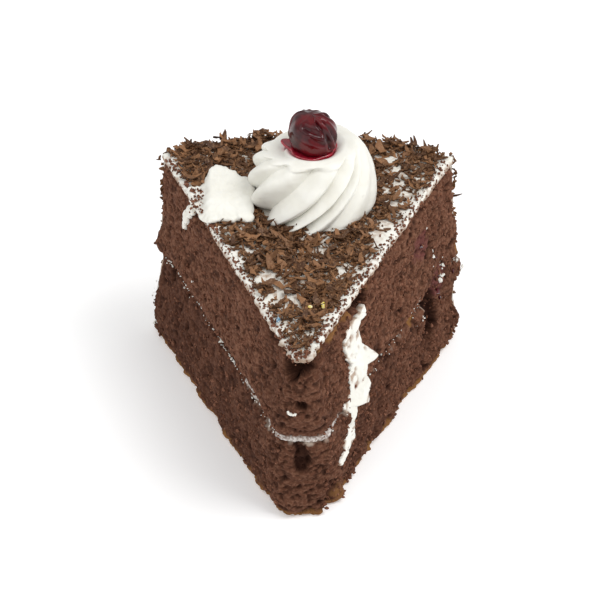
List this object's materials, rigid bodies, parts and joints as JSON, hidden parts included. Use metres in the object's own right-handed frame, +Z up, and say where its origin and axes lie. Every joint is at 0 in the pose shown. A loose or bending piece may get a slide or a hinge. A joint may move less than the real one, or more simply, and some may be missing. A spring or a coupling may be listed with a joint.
{
  "type": "slice of chocolate cake",
  "caption": "Wedge of layered chocolate sponge with cream filling and coat, piped cream swirl, cherry and chocolate shavings, standing on its base.",
  "frame": {"origin": "middle of the bounding box's lowest face, on the surface the slice stands on", "axes": "+Z up; the slice's tip points to -Y and its round outer side faces +Y; +X is to the right when the tip points at the viewer"},
  "size_m": [0.0962, 0.111, 0.0942],
  "materials": {
    "sponge": "open, porous dark chocolate crumb, dry and matt",
    "cream": "soft satin whipped cream",
    "cherry": "wet, glossy dark red fruit skin and syrup",
    "chocolate": "thin dull shavings of dark chocolate"
  },
  "bodies": {
    "root": {"sponge_lower": "sponge", "cream_filling": "cream", "sponge_upper": "sponge", "cream_coat": "cream", "cream_swirl": "cream", "cherry": "cherry", "cream_dab": "cream", "cream_smear": "cream"}
  },
  "joints": []
}
